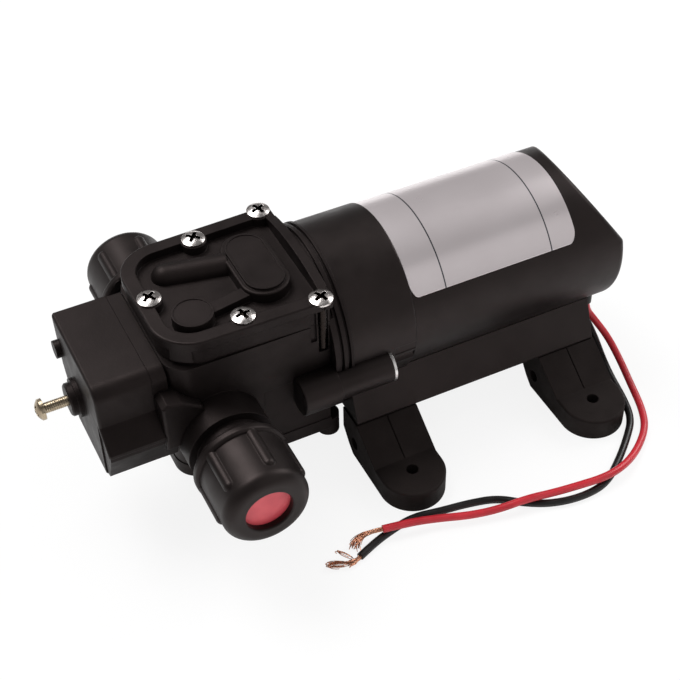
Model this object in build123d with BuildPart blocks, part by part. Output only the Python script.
from build123d import *
from math import cos, degrees, pi, radians, sin, sqrt, tan
import os

# A 12 V diaphragm water pump with a round motor, a square pump head with two hose ports,
# a pressure switch box on its front and four rubber feet on a saddle rail.
# Frame: millimetres, +X along the motor axis towards the motor's closed end, +Z up.
# Origin: on the ground, in the middle of the four foot holes.

# Feet and rail
foot_spacing_x = 54.5
foot_spacing_y = 70.0
foot_width = 17.4
toe_height = 6.3
foot_hole_r = 1.6
rail_bottom_z = 12.8
rail_floor = 4.0
rail_side_rise = 11.4
rail_short = 0.4

# Motor
sleeve_r = 21.5
sleeve_wall = 1.4
motor_z = rail_bottom_z + rail_floor + sleeve_r
sleeve_front_x = -19.5
sleeve_rear_x = 42.0
facet_top_x = 31.5
facet_low_z = motor_z + 6.0
can_wall = 1.2
can_front_x = -35.5
can_rear_x = 28.5
bracket_front_x = -37.0
bracket_r = sleeve_r + 0.5
shaft_r = 1.6
rail_half_bottom = sleeve_r - 0.5
rail_half_top = sleeve_r - 5.1

# Clamp screws on both sides of the neck
clamp_y = bracket_r - 0.4
clamp_z = motor_z - 6.1
clamp_r = 5.0
clamp_x0 = -52.0
clamp_mid_x = -42.0
clamp_x1 = -27.6
post_r = 4.4
bolt_r = 1.5

# Drive and diaphragm: the heights from the crank up to the rubber set the head's height
throw = 1.2
drive_x = -61.0
eccentric_r = 4.0
bearing_r = 7.0
bearing_w = 5.0
rod_ring_r = 8.6
piston_r = 7.6
diaphragm_r = 12.4
rubber_t = 1.2
plate_t = 1.2
valve_y = 5.2
valve_r = 3.3
valve_t = 0.4
crank_z = motor_z + throw
plate_low_z = crank_z + rod_ring_r + 0.2
rubber_z = plate_low_z + plate_t

# Pump head
head_front_x = -82.5
head_rear_x = -42.0
head_half = 19.0
head_corner_r = 6.0
head_bottom_z = motor_z - 24.8
bottom_cover_top_z = head_bottom_z + 4.2
split_low_z = motor_z - 9.4
split_high_z = motor_z - 3.2
split_step_x = -59.8
cover_seat_z = rubber_z + 1.5
cover_height = 7.3
cover_top_z = cover_seat_z + cover_height
cover_front_x = -83.0
cover_rear_x = -40.4
cover_half_front = 18.9
cover_half_rear = 19.7
cover_corner_r = 10.5
rim_width = 3.6
rear_rim = 2.4
recess_depth = 2.3
screw_places = [(-43.6, 18.2), (-43.6, -18.2), (-62.2, 15.4), (-62.2, -15.4), (-79.6, 0)]
screw_head_r = 2.95
screw_head_h = 1.25
screw_head_rim = 0.5
screw_shank_r = 1.4

# Ports
port_x = -72.0
port_z = motor_z - 8.9
port_bore_r = 4.5
port_thread_r = 8.9
port_end_y = 45.2
nut_end_y = 49.0
nut_inner_y = 31.0
nut_collar_r = 11.9
nut_body_r = 10.9
nut_hole_r = 5.9
plug_t = 2.0

# Pressure switch
switch_front_x = -100.3
switch_seam_x = -86.3
switch_screw_z = motor_z - 3.0
switch_wall = 1.6
boss_r = 4.2
boss_ring_r = 5.0
boss_tip_x = -103.2

# Fits
slip = 0.05
running = 0.03

os.makedirs("parts", exist_ok=True)


def save(builder, label):
    """Name a finished piece and write its file."""
    builder.part.label = label
    export_step(builder.part, f"parts/{label}.step")


def x_plane(x, y=0.0, z=motor_z):
    """A sketch plane square to the motor axis: sketch x is +Y, sketch y is +Z."""
    return Plane(origin=(x, y, z), x_dir=(0, 1, 0), z_dir=(1, 0, 0))


def port_plane(side, y):
    """A sketch plane on a port axis that faces outwards: side is -1 near, +1 far."""
    return Plane(origin=(port_x, side * y, port_z), x_dir=(1, 0, 0), z_dir=(0, side, 0))


# Motor sleeve: a moulded tube with a closed rear wall and a slanted facet on its top rear
sleeve_in_r = sleeve_r - sleeve_wall
facet_dx = sleeve_rear_x - facet_top_x
facet_dz = motor_z + sleeve_r - facet_low_z
facet_len = sqrt(facet_dx ** 2 + facet_dz ** 2)


def facet_wedge(inset):
    """The wedge above the slanted facet, moved inwards by inset, as a prism across Y."""
    shift_x = inset * facet_dz / facet_len
    shift_z = inset * facet_dx / facet_len
    a = (facet_top_x - shift_x - facet_dx, motor_z + sleeve_r - shift_z + facet_dz)
    b = (sleeve_rear_x - shift_x + facet_dx, facet_low_z - shift_z - facet_dz)
    with BuildPart(mode=Mode.PRIVATE) as wedge:
        with BuildSketch(Plane.XZ):
            with BuildLine():
                Polyline(a, b, (b[0] + facet_dx, a[1]), close=True)
            make_face()
        extrude(amount=2 * sleeve_r, both=True)
    return wedge.part


with BuildPart() as sleeve_cavity:
    with BuildSketch(x_plane(sleeve_front_x)):
        Circle(sleeve_in_r)
    extrude(amount=sleeve_rear_x - sleeve_front_x - 1.6)
    add(facet_wedge(1.6), mode=Mode.SUBTRACT)

grommet_x = 38.9
grommet_y = -10.0
grommet_length = 6.4
grommet_width = 3.2
grommet_height = 3.2
lead_gap = 3.0
lead_r = 1.0

with BuildPart() as motor_sleeve:
    with BuildSketch(x_plane(sleeve_front_x)):
        Circle(sleeve_r)
    extrude(amount=sleeve_rear_x - sleeve_front_x)
    add(facet_wedge(0), mode=Mode.SUBTRACT)
    rear_faces = motor_sleeve.faces().sort_by(Axis.X)[-2:]
    fillet(rear_faces.edges(), radius=1.6)
    add(sleeve_cavity.part, mode=Mode.SUBTRACT)
    # The leads leave through a slot in the underside, near the closed end
    with BuildSketch(Plane.XY.offset(motor_z - sleeve_r - 1)):
        with Locations((grommet_x, grommet_y)):
            SlotOverall(grommet_length, grommet_width, rotation=90)
    extrude(amount=8, mode=Mode.SUBTRACT)
save(motor_sleeve, "motor_sleeve")

# Rating label: a thin foil round the sleeve with rounded corners, bare of any print
label_t = 0.12
label_rear_x = 27.9
label_near_y = -18.9
label_far_y = 20.6
with BuildPart() as rating_label:
    with BuildSketch(x_plane(sleeve_front_x + 0.05)):
        Circle(sleeve_r + label_t)
        Circle(sleeve_r, mode=Mode.SUBTRACT)
    extrude(amount=label_rear_x - sleeve_front_x)
    with BuildSketch(Plane.XY.offset(motor_z)):
        with Locations(((sleeve_front_x + label_rear_x) / 2, (label_near_y + label_far_y) / 2)):
            RectangleRounded(label_rear_x - sleeve_front_x - 0.1, label_far_y - label_near_y, 2.0)
    extrude(amount=sleeve_r + 2, mode=Mode.INTERSECT)
save(rating_label, "rating_label")

# Motor bracket: the black ring that clamps the motor to the pump head
can_r = sleeve_in_r - slip
with BuildPart() as motor_bracket:
    with BuildSketch(x_plane(bracket_front_x)):
        Circle(bracket_r)
    extrude(amount=sleeve_front_x - bracket_front_x)
    fillet(motor_bracket.edges().filter_by(GeomType.CIRCLE).sort_by(Axis.X)[-1], radius=0.5)
    # A shallow window on each side, near the sleeve
    for side in (-1, 1):
        with BuildSketch(Plane.XZ.offset(-side * (bracket_r - 0.5))):
            with Locations((sleeve_front_x - 3.0, motor_z - 2.4)):
                Rectangle(6.0, 2.6)
        extrude(amount=-side * 3.0, mode=Mode.SUBTRACT)
    # A flat ledge under the ring, where the saddle rail begins
    with BuildSketch(x_plane(bracket_front_x)):
        with Locations((0, -bracket_r + 3.0)):
            Rectangle(30.0, 4.6)
    extrude(amount=12.0)
    with BuildSketch(x_plane(can_front_x)):
        Circle(sleeve_in_r)
    extrude(amount=sleeve_front_x - can_front_x, mode=Mode.SUBTRACT)
    with BuildSketch(x_plane(bracket_front_x)):
        Circle(8.0)
    extrude(amount=can_front_x - bracket_front_x, mode=Mode.SUBTRACT)
    with BuildSketch(x_plane(bracket_front_x, 0, clamp_z)):
        with Locations((clamp_y, 0), (-clamp_y, 0)):
            Circle(bolt_r)
    extrude(amount=sleeve_front_x - bracket_front_x, mode=Mode.SUBTRACT)
save(motor_bracket, "motor_bracket")

# Motor can: the drawn steel shell that carries the magnets
can_in_r = can_r - can_wall
front_hub_r = 7.0
with BuildPart() as motor_can:
    with BuildSketch(x_plane(can_front_x)):
        Circle(can_r)
    extrude(amount=can_rear_x - can_front_x)
    with BuildSketch(x_plane(can_front_x + can_wall)):
        Circle(can_in_r)
    extrude(amount=can_rear_x - can_front_x, mode=Mode.SUBTRACT)
    with BuildSketch(x_plane(can_front_x)):
        Circle(front_hub_r)
    extrude(amount=can_wall, mode=Mode.SUBTRACT)
save(motor_can, "motor_can")

# Front bearing and rear bush
front_bearing_w = 4.0
front_bearing_x = can_front_x - 2.6
with BuildPart() as front_bearing:
    with BuildSketch(x_plane(front_bearing_x)):
        Circle(front_hub_r - slip)
        Circle(shaft_r + running, mode=Mode.SUBTRACT)
    extrude(amount=front_bearing_w)
    with BuildSketch(x_plane(front_bearing_x)):
        Circle(front_hub_r - 1.4)
        Circle(shaft_r + 1.2, mode=Mode.SUBTRACT)
    extrude(amount=0.4, mode=Mode.SUBTRACT)
save(front_bearing, "front_bearing")

# End cap: closes the can and carries the rear bush and the brush guides
cap_t = 1.5
bush_r = 4.0
bush_x0 = 31.0
bush_x1 = 35.5
brush_w = 4.0
brush_h = 3.4
commutator_x0 = 17.0
commutator_len = 10.0
brush_x = commutator_x0 + commutator_len / 2
guide_wall = 0.9
commutator_r = 4.6
brush_gap = 0.06
guide_end_r = can_in_r - 2.85
# The brush fills this much of the guide when new, and its spring fills the rest
brush_fill = 0.575
brush_length = brush_fill * (guide_end_r - guide_wall - commutator_r - brush_gap)
with BuildPart() as motor_end_cap:
    with BuildSketch(x_plane(can_rear_x)):
        Circle(can_r)
    extrude(amount=cap_t)
    with BuildSketch(x_plane(can_rear_x + cap_t)):
        Circle(bush_r + 2.0)
    extrude(amount=bush_x1 + 1.0 - can_rear_x - cap_t)
    with BuildSketch(x_plane(can_rear_x)):
        Circle(bush_r)
    extrude(amount=bush_x1 - can_rear_x, mode=Mode.SUBTRACT)
    # Two square guides hold the brushes against the commutator
    for side in (-1, 1):
        guide_mid = side * (commutator_r + 1.5 + guide_end_r) / 2
        guide_len = guide_end_r - commutator_r - 1.5
        with BuildSketch(x_plane(brush_x - brush_w / 2 - guide_wall)):
            with Locations((guide_mid, 0)):
                Rectangle(guide_len, brush_h + 2 * guide_wall + 2 * slip)
        extrude(amount=can_rear_x - brush_x + brush_w / 2 + guide_wall)
    for side in (-1, 1):
        channel_mid = side * (guide_end_r - guide_wall) / 2
        with BuildSketch(x_plane(brush_x - brush_w / 2 - slip)):
            with Locations((channel_mid, 0)):
                Rectangle(guide_end_r - guide_wall, brush_h + 2 * slip)
        extrude(amount=brush_w + 2 * slip, mode=Mode.SUBTRACT)
save(motor_end_cap, "motor_end_cap")

with BuildPart() as rear_bush:
    with BuildSketch(x_plane(bush_x0)):
        Circle(bush_r)
        Circle(shaft_r + running, mode=Mode.SUBTRACT)
    extrude(amount=bush_x1 - bush_x0)
    chamfer(rear_bush.edges().filter_by(GeomType.CIRCLE).sort_by(Axis.X)[0], length=0.3)
save(rear_bush, "rear_bush")

# Brushes and the springs behind them; each spring is a plain sleeve round the coil's outside
with BuildPart() as brushes:
    for side in (-1, 1):
        with BuildSketch(x_plane(brush_x - brush_w / 2)):
            with Locations((side * (commutator_r + brush_gap + brush_length / 2), 0)):
                Rectangle(brush_length, brush_h)
        extrude(amount=brush_w)
save(brushes, "brushes")

brush_back_r = commutator_r + brush_gap + brush_length
brush_spring_r = 1.4
spring_wall = 0.3
with BuildPart() as brush_springs:
    for side in (-1, 1):
        start = Plane(origin=(brush_x, side * (brush_back_r + slip), motor_z),
                      x_dir=(1, 0, 0), z_dir=(0, side, 0))
        with BuildSketch(start):
            Circle(brush_spring_r)
            Circle(brush_spring_r - spring_wall, mode=Mode.SUBTRACT)
        extrude(amount=guide_end_r - guide_wall - brush_back_r - 2 * slip)
save(brush_springs, "brush_springs")

# Magnets: two arcs on the can's inner wall
magnet_in_r = can_in_r - 5.45
magnet_gap = 0.85 * can_in_r
magnet_x0 = -16.0
magnet_x1 = 16.0
with BuildPart() as magnets:
    with BuildSketch(x_plane(magnet_x0)):
        Circle(can_in_r)
        Circle(magnet_in_r, mode=Mode.SUBTRACT)
        with Locations((0, 0)):
            Rectangle(magnet_gap, 2 * can_in_r, mode=Mode.SUBTRACT)
    extrude(amount=magnet_x1 - magnet_x0)
save(magnets, "magnets")

# Armature: laminated core with five poles, windings in its slots, commutator and shaft
core_r = magnet_in_r - 0.7
core_x0 = -15.0
core_x1 = 13.0
poles = 5
slot_r = 0.68 * core_r
slot_len = 0.55 * core_r
slot_wide = 0.36 * core_r
winding_gap = 0.3
with BuildPart() as rotor_core:
    with BuildSketch(x_plane(core_x0)):
        Circle(core_r)
        Circle(shaft_r, mode=Mode.SUBTRACT)
        with PolarLocations(0, poles):
            with Locations((slot_r, 0)):
                SlotOverall(slot_len, slot_wide, mode=Mode.SUBTRACT)
            with Locations((core_r, 0)):
                Rectangle(2.4, 1.6, mode=Mode.SUBTRACT)
    extrude(amount=core_x1 - core_x0)
save(rotor_core, "rotor_core")

with BuildPart() as rotor_winding:
    with BuildSketch(x_plane(core_x0 - 3.0)):
        with PolarLocations(0, poles):
            with Locations((slot_r, 0)):
                SlotOverall(slot_len - 2 * winding_gap, slot_wide - 2 * winding_gap)
    extrude(amount=core_x1 - core_x0 + 6.0)
    fillet(rotor_winding.edges().filter_by(GeomType.CIRCLE), radius=0.8)
save(rotor_winding, "rotor_winding")

bars = 10
with BuildPart() as commutator:
    with BuildSketch(x_plane(commutator_x0)):
        Circle(commutator_r)
        Circle(shaft_r, mode=Mode.SUBTRACT)
    extrude(amount=commutator_len)
    with BuildSketch(x_plane(commutator_x0)):
        with PolarLocations(commutator_r, bars):
            Rectangle(1.0, 0.3)
    extrude(amount=commutator_len, mode=Mode.SUBTRACT)
save(commutator, "commutator")

shaft_x0 = drive_x - 4.6
shaft_x1 = 35.2
with BuildPart() as motor_shaft:
    with BuildSketch(x_plane(shaft_x0)):
        Circle(shaft_r)
    extrude(amount=shaft_x1 - shaft_x0)
    chamfer(motor_shaft.edges().filter_by(GeomType.CIRCLE), length=0.3)
save(motor_shaft, "motor_shaft")

# Eccentric on the shaft's front end, at the top of its turn, with a shoulder for the bearing
eccentric_x0 = drive_x - bearing_w / 2 - 1.5
eccentric_x1 = drive_x + bearing_w / 2
with BuildPart() as eccentric:
    with BuildSketch(x_plane(eccentric_x0, 0, crank_z)):
        Circle(eccentric_r)
    extrude(amount=eccentric_x1 - eccentric_x0)
    with BuildSketch(x_plane(eccentric_x1, 0, crank_z)):
        Circle(eccentric_r + 1.0)
    extrude(amount=2.0)
    with BuildSketch(x_plane(eccentric_x0)):
        Circle(shaft_r)
    extrude(amount=eccentric_x1 + 2.0 - eccentric_x0, mode=Mode.SUBTRACT)
save(eccentric, "eccentric")

with BuildPart() as drive_bearing:
    with BuildSketch(x_plane(drive_x - bearing_w / 2, 0, crank_z)):
        Circle(bearing_r)
        Circle(eccentric_r + running, mode=Mode.SUBTRACT)
    extrude(amount=bearing_w - 0.1)
    with BuildSketch(x_plane(drive_x - bearing_w / 2, 0, crank_z)):
        Circle(bearing_r - 0.8)
        Circle(eccentric_r + 0.9, mode=Mode.SUBTRACT)
    extrude(amount=0.4, mode=Mode.SUBTRACT)
save(drive_bearing, "drive_bearing")

# Connecting rod: a ring round the bearing, a neck and the lower clamp plate
rod_w = bearing_w - 0.1
with BuildPart() as connecting_rod:
    with BuildSketch(x_plane(drive_x - bearing_w / 2, 0, crank_z)):
        Circle(rod_ring_r)
        with Locations((0, (plate_low_z - crank_z) / 2 + 1.0)):
            Rectangle(8.0, plate_low_z - crank_z - 2.0)
        Circle(bearing_r, mode=Mode.SUBTRACT)
    extrude(amount=rod_w)
    with BuildSketch(Plane.XY.offset(plate_low_z - 0.4)):
        with Locations((drive_x, 0)):
            Circle(piston_r)
    extrude(amount=plate_t + 0.4)
    with BuildSketch(x_plane(drive_x - bearing_w / 2, 0, crank_z)):
        Circle(bearing_r)
    extrude(amount=rod_w, mode=Mode.SUBTRACT)
save(connecting_rod, "connecting_rod")

# Diaphragm: a rubber disc with one rolled fold and a thick bead at its edge
fold_in_r = piston_r + 0.4
fold_out_r = diaphragm_r - 1.5
fold_mid_r = (fold_in_r + fold_out_r) / 2
bead_low_z = cover_seat_z - 1.3
bead_top_z = cover_seat_z + 0.4
clamp_hole_r = 1.5
with BuildPart() as diaphragm:
    with BuildSketch(Plane.XZ):
        with BuildLine():
            low = rubber_z
            top = rubber_z + rubber_t
            Line((clamp_hole_r, low), (fold_in_r, low))
            ThreePointArc((fold_in_r, low), (fold_mid_r, low - 1.1), (fold_out_r, bead_low_z))
            Line((fold_out_r, bead_low_z), (diaphragm_r, bead_low_z))
            Line((diaphragm_r, bead_low_z), (diaphragm_r, bead_top_z))
            Line((diaphragm_r, bead_top_z), (fold_out_r, bead_top_z))
            ThreePointArc((fold_out_r, bead_top_z), (fold_mid_r, top - 0.9), (fold_in_r, top))
            Line((fold_in_r, top), (clamp_hole_r, top))
            Line((clamp_hole_r, top), (clamp_hole_r, low))
        make_face()
    revolve(axis=Axis.Z)
diaphragm.part = diaphragm.part.moved(Location((drive_x, 0, 0)))
save(diaphragm, "diaphragm")

# Clamp plate on top of the rubber, and the screw that holds the three together
plate_top_z = rubber_z + rubber_t + plate_t
with BuildPart() as clamp_plate:
    with BuildSketch(Plane.XY.offset(rubber_z + rubber_t)):
        with Locations((drive_x, 0)):
            Circle(piston_r - 0.4)
            Circle(clamp_hole_r, mode=Mode.SUBTRACT)
    extrude(amount=plate_t)
    fillet(clamp_plate.edges().group_by(Axis.Z)[-1].sort_by(SortBy.RADIUS)[-1], radius=0.5)
    chamfer(clamp_plate.edges().group_by(Axis.Z)[-1].sort_by(SortBy.RADIUS)[0], length=1.0)
save(clamp_plate, "clamp_plate")

with BuildPart() as clamp_screw:
    with BuildSketch(Plane.XY.offset(rubber_z)):
        with Locations((drive_x, 0)):
            Circle(clamp_hole_r - slip)
    extrude(amount=rubber_t + plate_t - 0.2)
    with BuildSketch(Plane.XY.offset(plate_top_z - 0.2)):
        with Locations((drive_x, 0)):
            Circle(clamp_hole_r + 0.7)
    with BuildSketch(Plane.XY.offset(plate_top_z - 1.0)):
        with Locations((drive_x, 0)):
            Circle(clamp_hole_r - slip)
    loft()
    with BuildSketch(Plane.XY.offset(plate_top_z - 0.2)):
        with Locations((drive_x, 0)):
            Rectangle(3.0, 0.6)
    extrude(amount=-0.5, mode=Mode.SUBTRACT)
save(clamp_screw, "clamp_screw")

# Cavity for the drive in the two housings, open to the motor
drive_half = 10.8
drive_x0 = drive_x - 5.4
drive_low_z = motor_z - 12.3
# The round well under the diaphragm clears the rod's plate at the bottom of its stroke
well_low_z = plate_low_z - 0.4 - 2 * throw - 0.6


def head_outline(grow=0.0):
    """Plan of the pump head, with rounded front corners and a straight rear."""
    with BuildSketch(mode=Mode.PRIVATE) as plan:
        with Locations(((head_front_x + head_rear_x) / 2, 0)):
            Rectangle(head_rear_x - head_front_x + 2 * grow, 2 * (head_half + grow))
        fillet(plan.vertices().group_by(Axis.X)[0], radius=head_corner_r + grow)
    return plan.sketch


def port_cut(radius, reach):
    """A bar along both port axes, to cut seats for the ports."""
    bar = Cylinder(radius, 2 * reach, rotation=(90, 0, 0), mode=Mode.PRIVATE)
    return Pos(port_x, 0, port_z) * bar


# Upper housing: port barrels, passages up to the valves, and the seat of the diaphragm
port_base_r = 11.0
port_base_y = 27.0
port_root_y = 12.0
passage_y = 10.2
passage_r = 2.2
groove_x = screw_places[0][0] - 2.5
groove_w = 1.5
with BuildPart() as upper_housing:
    with BuildSketch(Plane.XY.offset(split_low_z)):
        add(head_outline())
    extrude(amount=cover_seat_z - split_low_z)
    with BuildSketch(Plane.XY.offset(split_low_z)):
        with Locations(((split_step_x + head_rear_x) / 2 + 0.5, 0)):
            Rectangle(head_rear_x - split_step_x + 1.0, 2 * head_half + 2)
    extrude(amount=split_high_z - split_low_z, mode=Mode.SUBTRACT)
    # Ports
    for side in (-1, 1):
        with BuildSketch(port_plane(side, port_root_y)):
            Circle(port_base_r)
        extrude(amount=port_base_y - port_root_y)
        with BuildSketch(port_plane(side, port_base_y)):
            Circle(port_thread_r)
        extrude(amount=port_end_y - port_base_y)
    # Thread ridges that the nut runs on
    for side in (-1, 1):
        for step in range(5):
            with BuildSketch(port_plane(side, port_base_y + 6.0 + 2.0 * step)):
                Circle(port_thread_r + 0.5)
            extrude(amount=0.9)
    for side in (-1, 1):
        with BuildSketch(port_plane(side, passage_y - passage_r)):
            Circle(port_bore_r)
        extrude(amount=port_end_y, mode=Mode.SUBTRACT)
        with BuildSketch(Plane.XY.offset(port_z)):
            with Locations((port_x, side * passage_y)):
                Circle(passage_r)
        extrude(amount=cover_seat_z - port_z, mode=Mode.SUBTRACT)
    # Drive cavity and diaphragm seat
    with BuildSketch(Plane.XY.offset(split_low_z)):
        with Locations(((drive_x0 + head_rear_x) / 2, 0)):
            Rectangle(head_rear_x - drive_x0, 2 * drive_half)
    extrude(amount=well_low_z - split_low_z, mode=Mode.SUBTRACT)
    with BuildSketch(Plane.XY.offset(well_low_z)):
        with Locations((drive_x, 0)):
            Circle(fold_out_r)
    extrude(amount=cover_seat_z - well_low_z, mode=Mode.SUBTRACT)
    with BuildSketch(Plane.XY.offset(bead_low_z)):
        with Locations((drive_x, 0)):
            Circle(diaphragm_r)
    extrude(amount=4.0, mode=Mode.SUBTRACT)
    with BuildSketch(Plane.XY.offset(cover_seat_z)):
        with Locations(screw_places):
            Circle(screw_shank_r + slip)
    extrude(amount=-9.0, mode=Mode.SUBTRACT)
    # The upright groove beside each rear screw runs on below the cover
    for side in (-1, 1):
        with BuildSketch(Plane.XY.offset(cover_seat_z - 5.0)):
            with Locations((groove_x, side * head_half)):
                Rectangle(groove_w, 1.2)
        extrude(amount=5.0, mode=Mode.SUBTRACT)
save(upper_housing, "upper_housing")

# Lower housing: closes the drive cavity from below and wraps the port barrels. Its sides lie
# a little inside the upper housing's, which draws the stepped parting line.
lower_inset = 0.2
with BuildPart() as lower_housing:
    with BuildSketch(Plane.XY.offset(bottom_cover_top_z)):
        add(head_outline(-lower_inset))
    extrude(amount=split_low_z - bottom_cover_top_z)
    with BuildSketch(Plane.XY.offset(split_low_z)):
        with Locations(((split_step_x + head_rear_x - lower_inset) / 2, 0)):
            Rectangle(head_rear_x - lower_inset - split_step_x, 2 * (head_half - lower_inset))
    extrude(amount=split_high_z - split_low_z)
    add(port_cut(port_base_r + slip, port_base_y + 2), mode=Mode.SUBTRACT)
    with BuildSketch(Plane.XY.offset(drive_low_z)):
        with Locations(((drive_x0 + head_rear_x) / 2, 0)):
            Rectangle(head_rear_x - drive_x0, 2 * drive_half)
    extrude(amount=split_high_z - drive_low_z, mode=Mode.SUBTRACT)
    # Room for the long clamp screws, which pass close by the head's sides
    for side in (-1, 1):
        with BuildSketch(x_plane(clamp_x0, side * clamp_y, clamp_z)):
            Circle(bolt_r + slip)
        extrude(amount=head_rear_x - clamp_x0, mode=Mode.SUBTRACT)
save(lower_housing, "lower_housing")

# Bottom cover with a round lug under each rear corner
lug_r = 2.9
lug_drop = 2.4
with BuildPart() as bottom_cover:
    with BuildSketch(Plane.XY.offset(head_bottom_z)):
        add(head_outline())
    extrude(amount=bottom_cover_top_z - head_bottom_z)
    fillet(bottom_cover.edges().group_by(Axis.Z)[0].filter_by(GeomType.LINE).sort_by(Axis.Y)[0],
           radius=0.5)
    for side in (-1, 1):
        with BuildSketch(Plane.XY.offset(head_bottom_z - lug_drop)):
            with Locations((head_rear_x + 0.2, side * (head_half - lug_r))):
                Circle(lug_r)
        extrude(amount=lug_drop + 3.3)
save(bottom_cover, "bottom_cover")

# Drive collar: the round neck with two ridges between the head and the motor bracket
collar_r = bracket_r + 0.4
with BuildPart() as drive_collar:
    with BuildSketch(x_plane(head_rear_x)):
        Circle(collar_r)
        with Locations((0, -bracket_r + 3.0)):
            Rectangle(30.0, 4.6)
    extrude(amount=bracket_front_x - head_rear_x)
    for groove in (1.5, 3.4):
        with BuildSketch(x_plane(head_rear_x + groove)):
            Circle(collar_r + 1.0)
            Circle(collar_r - 0.9, mode=Mode.SUBTRACT)
        extrude(amount=0.8, mode=Mode.SUBTRACT)
    with BuildSketch(x_plane(head_rear_x)):
        Circle(front_hub_r)
    extrude(amount=bracket_front_x - head_rear_x, mode=Mode.SUBTRACT)
    with BuildSketch(x_plane(head_rear_x, 0, clamp_z)):
        with Locations((clamp_y, 0), (-clamp_y, 0)):
            Circle(bolt_r)
    extrude(amount=bracket_front_x - head_rear_x, mode=Mode.SUBTRACT)
    # Flats where the cover's corners pass over the neck
    with BuildSketch(Plane.XY.offset(cover_seat_z)):
        with Locations(((head_rear_x + cover_rear_x) / 2, 0)):
            Rectangle(cover_rear_x - head_rear_x + 0.1, 60.0)
    extrude(amount=20.0, mode=Mode.SUBTRACT)
save(drive_collar, "drive_collar")

# Valve plate under the cover, with two valve seats, stems and a rim over the diaphragm's bead
plate_x0 = drive_x - 15.0
plate_x1 = drive_x + 13.8
plate_half = 12.6
valve_plate_z = plate_top_z + 0.35
valve_plate_top = valve_plate_z + 2.0
ceiling_z = valve_plate_top + 0.5


def plate_rectangle(inset):
    """Plan of the valve plate, drawn in by inset."""
    with BuildSketch(mode=Mode.PRIVATE) as plan:
        with Locations(((plate_x0 + plate_x1) / 2, 0)):
            RectangleRounded(plate_x1 - plate_x0 - 2 * inset, 2 * (plate_half - inset), 3.0 - inset)
    return plan.sketch


with BuildPart() as valve_plate:
    with BuildSketch(Plane.XY.offset(valve_plate_z)):
        add(plate_rectangle(slip))
    extrude(amount=valve_plate_top - valve_plate_z)
    with BuildSketch(Plane.XY.offset(bead_top_z)):
        with Locations((drive_x, 0)):
            Circle(diaphragm_r - slip)
            Circle(fold_out_r, mode=Mode.SUBTRACT)
    extrude(amount=valve_plate_z - bead_top_z)
    with BuildSketch(Plane.XY.offset(valve_plate_z)):
        with Locations((drive_x, valve_y)):
            Circle(valve_r + 0.4)
    extrude(amount=0.8, mode=Mode.SUBTRACT)
    with BuildSketch(Plane.XY.offset(valve_plate_top - 0.9)):
        with Locations((drive_x, -valve_y)):
            Circle(valve_r + 0.4)
    extrude(amount=0.9, mode=Mode.SUBTRACT)
    with BuildSketch(Plane.XY.offset(valve_plate_z)):
        with Locations((drive_x, valve_y), (drive_x, -valve_y)):
            with PolarLocations(1.9, 6):
                Circle(0.6)
        for side in (-1, 1):
            with Locations((port_x, side * passage_y)):
                Circle(passage_r)
    extrude(amount=3.0, mode=Mode.SUBTRACT)
    with BuildSketch(Plane.XY.offset(valve_plate_z)):
        with Locations((drive_x, valve_y)):
            Circle(0.5)
    extrude(amount=0.8)
    with BuildSketch(Plane.XY.offset(valve_plate_top - 0.9)):
        with Locations((drive_x, -valve_y)):
            Circle(0.5)
    extrude(amount=0.9)
save(valve_plate, "valve_plate")

for label, y, z in (("inlet_valve", valve_y, valve_plate_z + 0.8 - valve_t),
                    ("outlet_valve", -valve_y, valve_plate_top - 0.9)):
    with BuildPart() as valve_disc:
        with BuildSketch(Plane.XY.offset(z)):
            with Locations((drive_x, y)):
                Circle(valve_r)
                Circle(0.6, mode=Mode.SUBTRACT)
        extrude(amount=valve_t)
    save(valve_disc, label)

# Passages in the cover: one pocket joins each port's riser to its valve
pocket_in = 1.2


def pocket_plan(side):
    """Plan of the water pocket on one side of the centre rib."""
    with BuildSketch(mode=Mode.PRIVATE) as plan:
        with Locations(((plate_x0 + plate_x1) / 2 - 1.0, side * (plate_half + 1.2) / 2)):
            RectangleRounded(plate_x1 - plate_x0 - 2 * pocket_in - 2.0, plate_half - pocket_in - 1.2, 2.0)
    return plan.sketch


with BuildPart() as valve_gasket:
    with BuildSketch(Plane.XY.offset(valve_plate_top)):
        add(plate_rectangle(0.1))
        for side in (-1, 1):
            add(pocket_plan(side), mode=Mode.SUBTRACT)
    extrude(amount=ceiling_z - valve_plate_top)
save(valve_gasket, "valve_gasket")


def cover_plan(inset, rear_inset):
    """Plan of the head cover, drawn in by inset: wider at the rear, round at the front."""
    x0, x1 = cover_front_x + inset, cover_rear_x - rear_inset
    front, rear = cover_half_front - inset, cover_half_rear - inset
    with BuildSketch(mode=Mode.PRIVATE) as plan:
        with BuildLine():
            Polyline((x0, -front), (x0, front), (x1, rear), (x1, -rear), close=True)
        make_face()
        fillet(plan.vertices().group_by(Axis.X)[0], radius=cover_corner_r - inset)
        fillet(plan.vertices().group_by(Axis.X)[-1], radius=1.6)
    return plan.sketch


# Head cover: raised rim, sunk floor, round boss, half-round ridge and two-step oblong boss
floor_z = cover_top_z - recess_depth
lip_h = 2.6
edge_ring = 0.5
ring_depth = 0.25
pocket_depth = 0.35 * (floor_z - ceiling_z)
arch_half = 14.8
arch_rise = 1.9
oblong_x = -52.5
oblong_len = 23.7
oblong_wide = 12.4
oblong_step = 1.15
oblong_h1 = 3.0
oblong_h2 = 3.7
ridge_x0 = -72.6
ridge_y = 8.2
ridge_r = 3.4
ridge_turn = 12.0
ridge_len = 15.2
web_wide = 3.4
web_h = 2.0
web_turn = 9.5
round_boss_x = -72.4
round_boss_y = -9.5
round_boss_r = 5.0
round_boss_h = 3.2

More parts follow.
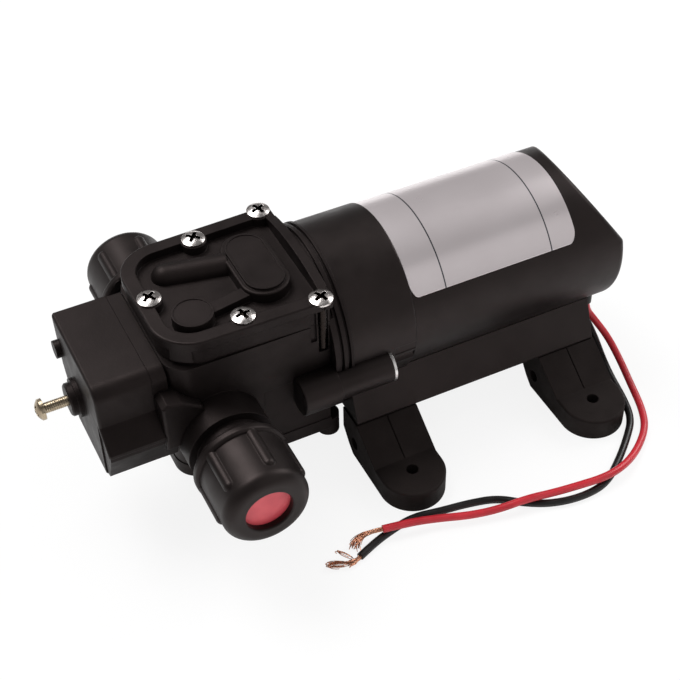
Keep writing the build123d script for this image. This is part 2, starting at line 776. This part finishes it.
# The oblong boss: two steps with round ends, the lower one with a soft edge
with BuildPart() as oblong_boss:
    with BuildSketch(Plane.XY.offset(floor_z - 0.2)):
        with Locations((oblong_x, 0)):
            SlotOverall(oblong_len, oblong_wide, rotation=90)
    extrude(amount=oblong_h1 + 0.2)
    fillet(oblong_boss.faces().sort_by(Axis.Z)[-1].edges(), radius=0.5)
    with BuildSketch(Plane.XY.offset(floor_z + oblong_h1)):
        with Locations((oblong_x, 0)):
            SlotOverall(oblong_len - 2 * oblong_step, oblong_wide - 2 * oblong_step, rotation=90)
    extrude(amount=oblong_h2 - oblong_h1)

with BuildPart() as head_cover:
    with BuildSketch(Plane.XY.offset(cover_seat_z)):
        add(cover_plan(0.7, 0.7))
    extrude(amount=cover_height - lip_h)
    # A short pad on each round front corner stands out as far as the lip
    with BuildSketch(Plane.XY.offset(cover_seat_z + 1.2)):
        with GridLocations(0, 2 * (cover_half_front - 2.6), 1, 2):
            with Locations((cover_front_x + 4.4, 0)):
                Rectangle(4.4, 5.2)
        add(cover_plan(0, 0), mode=Mode.INTERSECT)
    extrude(amount=cover_height - lip_h - 1.2)
    with BuildSketch(Plane.XY.offset(cover_top_z - lip_h)):
        add(cover_plan(0, 0))
    extrude(amount=lip_h)
    fillet(head_cover.faces().sort_by(Axis.Z)[-1].edges(), radius=0.5)
    with BuildSketch(Plane.XY.offset(floor_z)):
        add(cover_plan(rim_width, rear_rim))
    extrude(amount=recess_depth + 1, mode=Mode.SUBTRACT)
    # Round pads under the screw heads
    with BuildSketch(Plane.XY.offset(floor_z - 0.5)):
        with Locations(screw_places):
            Circle(screw_head_r + 0.3)
        add(cover_plan(0.5, 0.5), mode=Mode.INTERSECT)
    extrude(amount=cover_top_z - floor_z + 0.5)
    # A band along the rear edge, arched like the neck behind it
    arch_r = (arch_half ** 2 + arch_rise ** 2) / (2 * arch_rise)
    with BuildSketch(x_plane(cover_rear_x - rear_rim, 0, cover_top_z + arch_rise - arch_r)):
        Circle(arch_r)
        with Locations((0, arch_r)):
            Rectangle(2 * arch_half, 2 * (arch_rise + 0.5), mode=Mode.INTERSECT)
    extrude(amount=rear_rim)
    # Round boss and the flat web that joins it to the oblong boss
    with BuildSketch(Plane.XY.offset(floor_z - 0.2)):
        with Locations(((round_boss_x + oblong_x) / 2, round_boss_y + 1.4)):
            Rectangle(oblong_x - round_boss_x - 8.9, web_wide, rotation=web_turn)
    extrude(amount=web_h + 0.2)
    with BuildSketch(Plane.XY.offset(floor_z - 0.2)):
        with Locations((round_boss_x, round_boss_y)):
            Circle(round_boss_r)
    extrude(amount=round_boss_h + 0.2)
    add(oblong_boss.part)
    # Half-round ridge from the oblong boss towards the front, turned a little, with a round end
    turn = radians(ridge_turn)
    with BuildSketch(Plane(origin=(ridge_x0, ridge_y, floor_z), x_dir=(sin(turn), cos(turn), 0),
                           z_dir=(cos(turn), -sin(turn), 0))):
        Circle(ridge_r)
    extrude(amount=ridge_len)
    with Locations((ridge_x0, ridge_y, floor_z)):
        Sphere(ridge_r)
    # Shallow dishes leave a thin raised ring round the tops of both bosses
    ring_inset = oblong_step + edge_ring
    with BuildSketch(Plane.XY.offset(floor_z + oblong_h2 - ring_depth)):
        with Locations((oblong_x, 0)):
            SlotOverall(oblong_len - 2 * ring_inset, oblong_wide - 2 * ring_inset, rotation=90)
    extrude(amount=1.0, mode=Mode.SUBTRACT)
    with BuildSketch(Plane.XY.offset(floor_z + round_boss_h - ring_depth)):
        with Locations((round_boss_x, round_boss_y)):
            Circle(round_boss_r - edge_ring)
    extrude(amount=1.0, mode=Mode.SUBTRACT)
    # Space underneath for the valve plate, its gasket and the water pockets
    with BuildSketch(Plane.XY.offset(cover_seat_z - 4)):
        add(plate_rectangle(0))
    extrude(amount=ceiling_z - cover_seat_z + 4, mode=Mode.SUBTRACT)
    with BuildSketch(Plane.XY.offset(ceiling_z)):
        for side in (-1, 1):
            add(pocket_plan(side))
    extrude(amount=pocket_depth, mode=Mode.SUBTRACT)
    # Screw holes, and the upright grooves beside the rear screws
    with BuildSketch(Plane.XY.offset(cover_seat_z)):
        with Locations(screw_places):
            Circle(screw_shank_r + slip)
    extrude(amount=cover_top_z, mode=Mode.SUBTRACT)
    for side in (-1, 1):
        with BuildSketch(Plane.XY.offset(cover_seat_z)):
            with Locations((groove_x, side * cover_half_rear)):
                Rectangle(groove_w, 2.6)
        extrude(amount=cover_height - lip_h, mode=Mode.SUBTRACT)
save(head_cover, "head_cover")


def phillips_cut(depth, arm, width):
    """A cross recess, centred on the origin, that opens upwards."""
    cross = Box(2 * arm, width, depth, mode=Mode.PRIVATE) + Box(width, 2 * arm, depth, mode=Mode.PRIVATE)
    cross = cross + Cone(0.3, width, depth, mode=Mode.PRIVATE)
    return Pos(0, 0, -depth / 2) * cross


# Five pan-head screws hold the cover down
screw_length = 15.0
screw_turns = [20, 25, 50, 10, 35]
dome_h = screw_head_h - screw_head_rim
dome_r = (screw_head_r ** 2 + dome_h ** 2) / (2 * dome_h)
with BuildPart(mode=Mode.PRIVATE) as screw_head:
    Cylinder(screw_head_r, screw_head_h, align=(Align.CENTER, Align.CENTER, Align.MIN))
    with Locations((0, 0, screw_head_h - dome_r)):
        Sphere(dome_r, mode=Mode.INTERSECT)
with BuildPart() as cover_screws:
    for place in screw_places:
        add(Pos(place[0], place[1], cover_top_z) * screw_head.part)
    with BuildSketch(Plane.XY.offset(cover_top_z)):
        with Locations(screw_places):
            Circle(screw_shank_r)
    extrude(amount=-screw_length)
    for place, turn in zip(screw_places, screw_turns):
        cross = Rotation(0, 0, turn) * phillips_cut(1.3, 1.9, 0.95)
        add(Pos(place[0], place[1], cover_top_z + screw_head_h) * cross, mode=Mode.SUBTRACT)
save(cover_screws, "cover_screws")

# Clamp bosses: a round post on each side of the neck takes a long screw along X
for side, word in ((-1, "near"), (1, "far")):
    with BuildPart() as clamp_post:
        with BuildSketch(x_plane(clamp_x0, side * clamp_y, clamp_z)):
            Circle(clamp_r)
        extrude(amount=clamp_mid_x - clamp_x0)
        with BuildSketch(x_plane(clamp_mid_x, side * clamp_y, clamp_z)):
            Circle(post_r)
        extrude(amount=clamp_x1 - clamp_mid_x)
        fillet(clamp_post.edges().filter_by(GeomType.CIRCLE).sort_by(Axis.X)[0], radius=0.4)
        with BuildSketch(x_plane(clamp_x0 + 1.5, side * clamp_y, clamp_z)):
            Circle(bolt_r)
        extrude(amount=clamp_x1 - clamp_x0, mode=Mode.SUBTRACT)
        # The post is cut round to sit against the head, the neck and the bracket
        with BuildSketch(Plane.XY.offset(clamp_z - 10)):
            with Locations(((clamp_x0 + head_rear_x) / 2 - 0.5, 0)):
                Rectangle(head_rear_x - clamp_x0 + 1.0, 2 * head_half)
        extrude(amount=20, mode=Mode.SUBTRACT)
        with BuildSketch(x_plane(head_rear_x)):
            Circle(collar_r)
        extrude(amount=bracket_front_x - head_rear_x, mode=Mode.SUBTRACT)
        with BuildSketch(x_plane(bracket_front_x)):
            Circle(bracket_r)
        extrude(amount=20, mode=Mode.SUBTRACT)
    save(clamp_post, f"{word}_clamp_post")

washer_t = 0.7
washer_r = 4.4
clamp_head_r = 2.5
clamp_head_t = 0.7
with BuildPart() as clamp_washers:
    for side in (-1, 1):
        with BuildSketch(x_plane(clamp_x1, side * clamp_y, clamp_z)):
            Circle(washer_r)
            Circle(bolt_r + slip, mode=Mode.SUBTRACT)
        extrude(amount=washer_t)
    with BuildSketch(x_plane(clamp_x1)):
        Circle(bracket_r)
    extrude(amount=washer_t, mode=Mode.SUBTRACT)
save(clamp_washers, "clamp_washers")

with BuildPart() as clamp_screws:
    for side in (-1, 1):
        with BuildSketch(x_plane(clamp_x1 + washer_t, side * clamp_y, clamp_z)):
            Circle(clamp_head_r)
        extrude(amount=clamp_head_t)
    with BuildSketch(x_plane(clamp_x1 + washer_t)):
        Circle(bracket_r + slip)
    extrude(amount=clamp_head_t, mode=Mode.SUBTRACT)
    for side in (-1, 1):
        with BuildSketch(x_plane(clamp_x0 + 3.0, side * clamp_y, clamp_z)):
            Circle(bolt_r - slip)
        extrude(amount=clamp_x1 + washer_t - clamp_x0 - 3.0)
save(clamp_screws, "clamp_screws")

# Union nuts on the two ports, each with a collar, six round ribs and a hole in its end
ribs = 6
rib_turns = {"near": 15.0, "far": 52.0}
rib_r = 1.7
rib_place_r = nut_body_r - 0.9
rib_end_y = nut_end_y - 5.5
for side, word in ((-1, "near"), (1, "far")):
    with BuildPart() as port_nut:
        with BuildSketch(port_plane(side, nut_inner_y)):
            Circle(nut_collar_r)
        extrude(amount=2.6)
        fillet(port_nut.edges().filter_by(GeomType.CIRCLE), radius=0.9)
        with BuildSketch(port_plane(side, nut_inner_y)):
            Circle(nut_body_r)
        extrude(amount=nut_end_y - nut_inner_y)
        fillet(port_nut.edges().filter_by(GeomType.CIRCLE).sort_by(Axis.Y)[0 if side < 0 else -1],
               radius=3.0)
        with BuildSketch(port_plane(side, nut_inner_y)):
            with PolarLocations(rib_place_r, ribs, start_angle=rib_turns[word]):
                Circle(rib_r)
        extrude(amount=rib_end_y - nut_inner_y)
        with Locations(port_plane(side, rib_end_y)):
            with PolarLocations(rib_place_r, ribs, start_angle=rib_turns[word]):
                Sphere(rib_r)
        with BuildSketch(port_plane(side, nut_inner_y)):
            Circle(port_thread_r + 0.5 + slip)
        extrude(amount=port_end_y + plug_t - nut_inner_y, mode=Mode.SUBTRACT)
        with BuildSketch(port_plane(side, nut_inner_y)):
            Circle(nut_hole_r)
        extrude(amount=nut_end_y, mode=Mode.SUBTRACT)
        fillet(port_nut.edges().filter_by(GeomType.CIRCLE).filter_by(
            lambda edge: abs(edge.radius - nut_hole_r) < 0.01
            and abs(abs(edge.center().Y) - nut_end_y) < 0.01), radius=0.5)
    save(port_nut, f"{word}_port_nut")

    # Red transport plug: a disc under the nut and a hollow stem in the port
    with BuildPart() as port_plug:
        with BuildSketch(port_plane(side, port_end_y)):
            Circle(port_thread_r)
        extrude(amount=plug_t)
        with BuildSketch(port_plane(side, port_end_y - 7.0)):
            Circle(port_bore_r - 0.1)
            Circle(port_bore_r - 1.2, mode=Mode.SUBTRACT)
        extrude(amount=7.0)
    save(port_plug, f"{word}_port_plug")

# Pressure switch box on the head's front: cover, base, plunger, spring and adjusting screw
switch_section = [(14.4, 12.3), (-16.2, 12.3), (-16.6, 1.3), (-21.7, -3.5), (-21.7, -4.9), (-16.9, -15.5),
                  (-15.0, -16.2), (5.6, -16.2), (12.4, -2.3)]
ledge_y = -14.9
box_edge_r = 3.6


def switch_profile(inset):
    """Outline of the switch box, seen from the front, drawn in by inset."""
    with BuildSketch(x_plane(0), mode=Mode.PRIVATE) as outline:
        with BuildLine():
            Polyline(*switch_section, close=True)
        make_face()
        if inset > 0:
            offset(amount=-inset, kind=Kind.INTERSECTION)
        near_top = [v for v in outline.vertices() if v.X < 0 and v.Y > 6]
        far_top = [v for v in outline.vertices() if v.X > 0 and v.Y > 6]
        waist = [v for v in outline.vertices() if v.X < 0 and abs(v.Y) < 3]
        fillet(near_top, radius=box_edge_r - inset)
        fillet(far_top, radius=1.8 - inset)
        fillet(waist, radius=2.0)
    return outline.sketch


with BuildPart() as switch_cover:
    add(extrude(Pos(switch_front_x, 0, 0) * switch_profile(0), amount=switch_seam_x - switch_front_x,
                dir=(1, 0, 0), mode=Mode.PRIVATE))
    fillet(switch_cover.faces().sort_by(Axis.X)[0].edges(), radius=0.8)
    add(extrude(Pos(switch_front_x + switch_wall, 0, 0) * switch_profile(switch_wall),
                amount=switch_seam_x - switch_front_x, dir=(1, 0, 0), mode=Mode.PRIVATE),
        mode=Mode.SUBTRACT)
    # The near side flares out into a thin skirt over the base's ledge
    with BuildSketch(x_plane(switch_front_x)):
        with BuildLine():
            Polyline((ledge_y, 1.25), (-20.9, -4.4), (-25.0, -4.4), (-25.0, -18.0), (ledge_y, -18.0),
                     close=True)
        make_face()
    extrude(amount=switch_seam_x - switch_front_x, mode=Mode.SUBTRACT)
    # Round boss that guides the adjusting screw, and a small round stud near the far edge
    with BuildSketch(x_plane(boss_tip_x, 0, switch_screw_z)):
        Circle(boss_r)
    extrude(amount=switch_front_x + 3.0 - boss_tip_x)
    with BuildSketch(x_plane(switch_front_x - 1.2, 0, switch_screw_z)):
        Circle(boss_ring_r)
    extrude(amount=3.0)
    with BuildSketch(x_plane(switch_front_x - 1.5, 11.2, motor_z + 3.6)):
        Circle(2.3)
    extrude(amount=2.5)
    with BuildSketch(x_plane(boss_tip_x, 0, switch_screw_z)):
        Circle(1.35 + slip)
    extrude(amount=12.0, mode=Mode.SUBTRACT)
    chamfer(switch_cover.edges().filter_by(GeomType.CIRCLE).group_by(Axis.X)[0].sort_by(SortBy.RADIUS)[-1],
            length=0.4)
save(switch_cover, "switch_cover")

# Switch base between the cover and the head, with the ledge under the near side
with BuildPart() as switch_base:
    add(extrude(Pos(switch_seam_x, 0, 0) * switch_profile(0.15), amount=head_front_x - switch_seam_x,
                dir=(1, 0, 0), mode=Mode.PRIVATE))
    with BuildSketch(x_plane(switch_front_x + 0.4)):
        with BuildLine():
            Polyline((ledge_y - slip, 0.6), (-20.6, -4.9), (-20.6, -6.6), (-16.9, -15.2),
                     (ledge_y - slip, -16.0), close=True)
        make_face()
    extrude(amount=switch_seam_x - switch_front_x - 0.4)
    # Round seat of the plunger and its water passage
    with BuildSketch(x_plane(switch_seam_x, -1.0, switch_screw_z)):
        Circle(6.0)
    extrude(amount=2.6, mode=Mode.SUBTRACT)
    with BuildSketch(x_plane(switch_seam_x, -1.0, switch_screw_z)):
        Circle(1.5)
    extrude(amount=10, mode=Mode.SUBTRACT)
    add(port_cut(port_base_r + slip, port_base_y + 2), mode=Mode.SUBTRACT)
save(switch_base, "switch_base")

# Side channel: the rounded block that fills the corner between the switch and the near port
channel_y = -21.8
channel_rear_x = switch_seam_x + 11.3
with BuildPart() as side_channel:
    with BuildSketch(Plane.XZ.offset(-channel_y)):
        with BuildLine():
            Polyline((switch_seam_x, port_z + 0.6), (switch_seam_x, motor_z + 5.5),
                     (switch_seam_x + 1.5, motor_z + 6.5), (switch_seam_x + 5.1, motor_z + 5.7),
                     (switch_seam_x + 9.9, motor_z + 2.4),
                     (channel_rear_x, motor_z - 1.0), (channel_rear_x, port_z + 0.6), close=True)
        make_face()
    extrude(amount=-8.0)
    fillet(side_channel.faces().sort_by(Axis.Y)[0].edges(), radius=0.8)
    with BuildSketch(Plane.XY.offset(head_bottom_z)):
        add(head_outline())
    extrude(amount=cover_top_z - head_bottom_z, mode=Mode.SUBTRACT)
    add(extrude(Pos(switch_seam_x, 0, 0) * switch_profile(0.1), amount=head_front_x - switch_seam_x,
                dir=(1, 0, 0), mode=Mode.PRIVATE), mode=Mode.SUBTRACT)
    add(port_cut(port_base_r + slip, port_base_y + 2), mode=Mode.SUBTRACT)
save(side_channel, "side_channel")

# Rubber membrane and plunger of the switch
membrane_t = 1.0
with BuildPart() as switch_membrane:
    with BuildSketch(x_plane(switch_seam_x + 2.6 - membrane_t, -1.0, switch_screw_z)):
        Circle(5.9)
    extrude(amount=membrane_t)
save(switch_membrane, "switch_membrane")

plunger_x1 = switch_seam_x + 2.6 - membrane_t - 0.05
plunger_x0 = switch_seam_x - 4.2
plunger_plate_x = switch_seam_x - 1.1
with BuildPart() as switch_plunger:
    with BuildSketch(x_plane(plunger_x0, 0, switch_screw_z)):
        Circle(2.0)
    extrude(amount=plunger_x1 - plunger_x0)
    with BuildSketch(x_plane(plunger_plate_x, 0, switch_screw_z)):
        Circle(4.6)
    extrude(amount=plunger_x1 - plunger_plate_x)
    # Arm that reaches out over the micro switch's button
    with BuildSketch(x_plane(plunger_plate_x, 0, switch_screw_z)):
        with Locations((-7.6, 0)):
            Rectangle(6.4, 3.0)
    extrude(amount=1.0)
save(switch_plunger, "switch_plunger")

# Micro switch beside the plunger, with its sprung button and two blade terminals
micro_x0 = switch_seam_x - 9.7
micro_x1 = micro_x0 + 6.8
micro_w = 5.8
micro_y = ledge_y + 0.3 + micro_w / 2
micro_z = switch_screw_z + 2.7
button_y = micro_y + 2.1
with BuildPart() as micro_switch:
    with BuildSketch(x_plane(micro_x0, micro_y, micro_z)):
        Rectangle(micro_w, 12.0)
    extrude(amount=micro_x1 - micro_x0)
    with BuildSketch(x_plane(micro_x1 - 2.2, button_y, switch_screw_z)):
        Rectangle(1.4, 1.4)
    extrude(amount=2.2, mode=Mode.SUBTRACT)
    for dz in (-4.0, 0.0, 4.0):
        with BuildSketch(x_plane(micro_x0 - 1.6, micro_y, micro_z + dz)):
            Rectangle(2.8, 0.6)
        extrude(amount=1.6)
save(micro_switch, "micro_switch")

button_play = 0.1
with BuildPart() as switch_button:
    with BuildSketch(x_plane(micro_x1 - 1.2, button_y, switch_screw_z)):
        Rectangle(1.4 - 2 * slip, 1.4 - 2 * slip)
    extrude(amount=plunger_plate_x - button_play - micro_x1 + 1.2)
save(switch_button, "switch_button")

# Pressure spring, a plain sleeve round the coil's outside, and its seat on the screw's tip
screw_r = 1.35
screw_tip_x = switch_seam_x - 9.3
seat_x1 = screw_tip_x + 1.4
coil_r = 3.35
coil_wall = 0.7
with BuildPart() as pressure_spring:
    with BuildSketch(x_plane(seat_x1 + slip, 0, switch_screw_z)):
        Circle(coil_r)
        Circle(coil_r - coil_wall, mode=Mode.SUBTRACT)
    extrude(amount=plunger_plate_x - seat_x1 - 2 * slip)
save(pressure_spring, "pressure_spring")

with BuildPart() as spring_seat:
    with BuildSketch(x_plane(screw_tip_x + 0.05, 0, switch_screw_z)):
        Circle(4.0)
    extrude(amount=seat_x1 - screw_tip_x - 0.05)
save(spring_seat, "spring_seat")

head_x0 = -111.3
head_t = 2.1
head_side = 0.9
adjust_head_r = 2.7
with BuildPart() as adjusting_screw:
    with BuildSketch(x_plane(head_x0 + head_t, 0, switch_screw_z)):
        Circle(screw_r - running)
    extrude(amount=screw_tip_x - head_x0 - head_t)
    adjust_dome_h = head_t - head_side
    adjust_dome_r = (adjust_head_r ** 2 + adjust_dome_h ** 2) / (2 * adjust_dome_h)
    with BuildSketch(Plane.XZ):
        with BuildLine():
            start_x = head_x0 + head_t
            side_x = start_x - head_side
            mid = 0.5 * adjust_head_r
            Line((start_x, switch_screw_z), (start_x, switch_screw_z + adjust_head_r))
            Line((start_x, switch_screw_z + adjust_head_r), (side_x, switch_screw_z + adjust_head_r))
            rise = adjust_dome_r - sqrt(adjust_dome_r ** 2 - mid ** 2)
            ThreePointArc((side_x, switch_screw_z + adjust_head_r), (head_x0 + rise, switch_screw_z + mid),
                          (head_x0, switch_screw_z))
            Line((head_x0, switch_screw_z), (start_x, switch_screw_z))
        make_face()
    revolve(axis=Axis((0, 0, switch_screw_z), (1, 0, 0)))
    cross = Rotation(0, -90, 0) * phillips_cut(1.3, 1.7, 0.8)
    add(Pos(head_x0, 0, switch_screw_z) * cross, mode=Mode.SUBTRACT)
save(adjusting_screw, "adjusting_screw")

# Saddle rail under the motor, with four pockets for the feet
rail_x = foot_spacing_x / 2 + foot_width / 2 - rail_short
peg_y = rail_half_bottom - 5.4
peg_w = 5.0
peg_len = 12.0
peg_h = 2.6
with BuildPart() as saddle_rail:
    with BuildSketch(x_plane(-rail_x, 0, 0)):
        with BuildLine():
            Polyline((-rail_half_bottom, rail_bottom_z), (-rail_half_top, rail_bottom_z + rail_side_rise),
                     (rail_half_top, rail_bottom_z + rail_side_rise), (rail_half_bottom, rail_bottom_z),
                     close=True)
        make_face()
    extrude(amount=2 * rail_x)
    fillet(saddle_rail.edges().filter_by(Axis.X).group_by(Axis.Z)[0], radius=0.5)
    with BuildSketch(x_plane(-rail_x)):
        Circle(bracket_r + slip)
    extrude(amount=rail_x + sleeve_front_x + 0.2, mode=Mode.SUBTRACT)
    with BuildSketch(x_plane(-rail_x)):
        with Locations((0, -bracket_r + 3.0)):
            Rectangle(30.0 + 2 * slip, 4.6 + 2 * slip)
    extrude(amount=bracket_front_x + 12.0 + rail_x + slip, mode=Mode.SUBTRACT)
    with BuildSketch(x_plane(-rail_x)):
        Circle(sleeve_r + slip)
    extrude(amount=2 * rail_x, mode=Mode.SUBTRACT)
    with BuildSketch(Plane.XY.offset(rail_bottom_z)):
        with GridLocations(foot_spacing_x, 2 * peg_y, 2, 2):
            Rectangle(peg_len + 2 * slip, peg_w + 2 * slip)
    extrude(amount=peg_h + slip, mode=Mode.SUBTRACT)
save(saddle_rail, "saddle_rail")

# Rubber feet: a leg that slopes out from the rail and a round toe with its screw hole
toe_r = foot_width / 2
toe_y = foot_spacing_y / 2
leg_side_hole_r = 1.7
side_hole_y = rail_half_bottom - 1.5
side_hole_z = 4.8
leg_inner_y = rail_half_bottom - 8.0
leg_profile = [(leg_inner_y, rail_bottom_z), (rail_half_bottom, rail_bottom_z), (toe_y - 4.0, toe_height),
               (toe_y + toe_r, toe_height), (toe_y + toe_r, 0), (toe_y - 16.5, 0), (toe_y - 18.9, 2.1),
               (leg_inner_y, 5.9)]
for x_side, front_word in ((-1, "front"), (1, "rear")):
    for y_side, side_word in ((-1, "near"), (1, "far")):
        foot_x = x_side * foot_spacing_x / 2
        with BuildPart() as foot:
            with BuildSketch(x_plane(foot_x - toe_r, 0, 0)):
                with BuildLine():
                    Polyline(*[(y_side * y, z) for y, z in leg_profile], close=True)
                make_face()
            extrude(amount=foot_width)
            with BuildSketch(Plane.XY):
                with Locations((foot_x, y_side * toe_y)):
                    Circle(toe_r)
                with Locations((foot_x, y_side * toe_y / 2)):
                    Rectangle(foot_width, toe_y)
            extrude(amount=30, mode=Mode.INTERSECT)
            fillet(foot.edges().filter_by(
                lambda edge: edge.geom_type == GeomType.CIRCLE
                and abs(edge.center().Z - toe_height) < 0.01), radius=0.6)
            # Peg that plugs into the rail
            with BuildSketch(Plane.XY.offset(rail_bottom_z)):
                with Locations((foot_x, y_side * peg_y)):
                    Rectangle(peg_len, peg_w)
            extrude(amount=peg_h)
            # Screw hole with a shallow ring round it
            with BuildSketch(Plane.XY):
                with Locations((foot_x, y_side * toe_y)):
                    Circle(foot_hole_r)
            extrude(amount=30, mode=Mode.SUBTRACT)
            # Side hole through the leg
            with BuildSketch(x_plane(foot_x - toe_r, y_side * side_hole_y, side_hole_z)):
                Circle(leg_side_hole_r)
            extrude(amount=foot_width, mode=Mode.SUBTRACT)
            # Seam groove down the middle of the leg's face
            with BuildSketch(x_plane(foot_x - 0.15, 0, 0)):
                with BuildLine():
                    Polyline((y_side * (rail_half_bottom - 0.3), rail_bottom_z + 1),
                             (y_side * (rail_half_bottom + 1.5), rail_bottom_z + 1),
                             (y_side * (toe_y - 3.7), toe_height), (y_side * (toe_y - 4.6), toe_height),
                             (y_side * (rail_half_bottom - 0.3), rail_bottom_z - 0.2), close=True)
                make_face()
            extrude(amount=0.3, mode=Mode.SUBTRACT)
        save(foot, f"{front_word}_{side_word}_foot")

# Grommet in the sleeve's slot
grommet_low_z = motor_z - sleeve_r + 0.9
with BuildPart() as lead_grommet:
    with BuildSketch(Plane.XY.offset(grommet_low_z)):
        with Locations((grommet_x, grommet_y)):
            SlotOverall(grommet_length - 2 * slip, grommet_width - 2 * slip, rotation=90)
            with Locations((0, lead_gap / 2), (0, -lead_gap / 2)):
                Circle(lead_r + slip, mode=Mode.SUBTRACT)
    extrude(amount=grommet_height)
save(lead_grommet, "lead_grommet")

# Free leads: each lies from the grommet down to the ground and along it to its bare end
red_x = grommet_x
red_y = grommet_y - lead_gap / 2
black_y = grommet_y + lead_gap / 2
lead_top_z = grommet_low_z + 2.6
red_route = [(red_x, red_y, lead_top_z), (red_x, red_y, 15.3), (41.2, -13.8, 11.4), (43.0, -18.2, 8.0),
             (43.4, -24.4, 4.2), (42.4, -31.6, 1.7), (40.3, -40.2, 1.05), (37.0, -46.6, 1.05),
             (30.4, -52.2, 1.2), (23.2, -56.3, 2.9), (16.6, -57.6, 3.45), (9.6, -56.9, 3.4),
             (2.6, -55.6, 2.8), (-4.8, -54.7, 3.5), (-12.4, -53.6, 2.3), (-19.8, -51.9, 2.1),
             (-27.2, -49.4, 2.4), (-34.6, -47.9, 3.3), (-41.8, -46.7, 3.3)]
black_route = [(red_x, black_y, lead_top_z), (red_x, black_y, 15.1), (40.2, -10.8, 10.4), (41.0, -15.2, 6.0),
               (40.4, -20.8, 2.6), (39.3, -27.4, 1.1), (38.0, -34.6, 1.05), (35.7, -42.0, 1.05),
               (30.6, -47.3, 1.05), (24.4, -52.7, 1.05), (17.2, -57.9, 1.05), (9.4, -58.9, 1.05),
               (1.4, -57.4, 1.05), (-5.0, -54.0, 1.05), (-10.4, -49.5, 1.05), (-18.0, -47.6, 1.05),
               (-25.4, -46.6, 1.05), (-32.6, -45.1, 1.05), (-40.6, -46.8, 1.05), (-45.6, -48.4, 1.05),
               (-49.8, -50.2, 1.05)]
red_copper_route = [(-41.8, -46.7, 3.3), (-44.76, -46.207, 3.3), (-48.0, -45.7, 2.3), (-50.9, -46.6, 1.2)]
black_copper_route = [(-49.8, -50.2, 1.05), (-52.56, -51.383, 1.05), (-56.0, -51.3, 0.95), (-58.8, -49.6, 0.9)]
copper_r = 0.8


def lead_radii(points):
    """The largest bend radius that each corner's shorter run allows."""
    radii = []
    for before, corner, after in zip(points, points[1:], points[2:]):
        run_in = Vector(corner) - Vector(before)
        run_out = Vector(after) - Vector(corner)
        turn = radians(run_in.get_angle(run_out))
        radii.append(0.45 * min(run_in.length, run_out.length) / tan(turn / 2))
    return radii


def lead_tube(points, radius, label):
    """A round tube along straight runs joined by tangent arcs."""
    radii = lead_radii(points)
    with BuildPart() as tube:
        with BuildLine() as route:
            FilletPolyline(*points, radius=radii)
        with BuildSketch(Plane(route.line @ 0, z_dir=route.line % 0)):
            Circle(radius)
        sweep(path=route.line)
    length = sum(edge.length for edge in route.edges())
    share = tube.part.volume / (pi * radius ** 2 * length)
    print(label, "length", round(length, 1), "least radius", round(min(radii), 1))
    print(label, "volume over section times length", round(share, 4))
    save(tube, label)


lead_tube(red_route, lead_r, "red_lead")
lead_tube(black_route, lead_r, "black_lead")
lead_tube(red_copper_route, copper_r, "red_lead_copper")
lead_tube(black_copper_route, copper_r, "black_lead_copper")
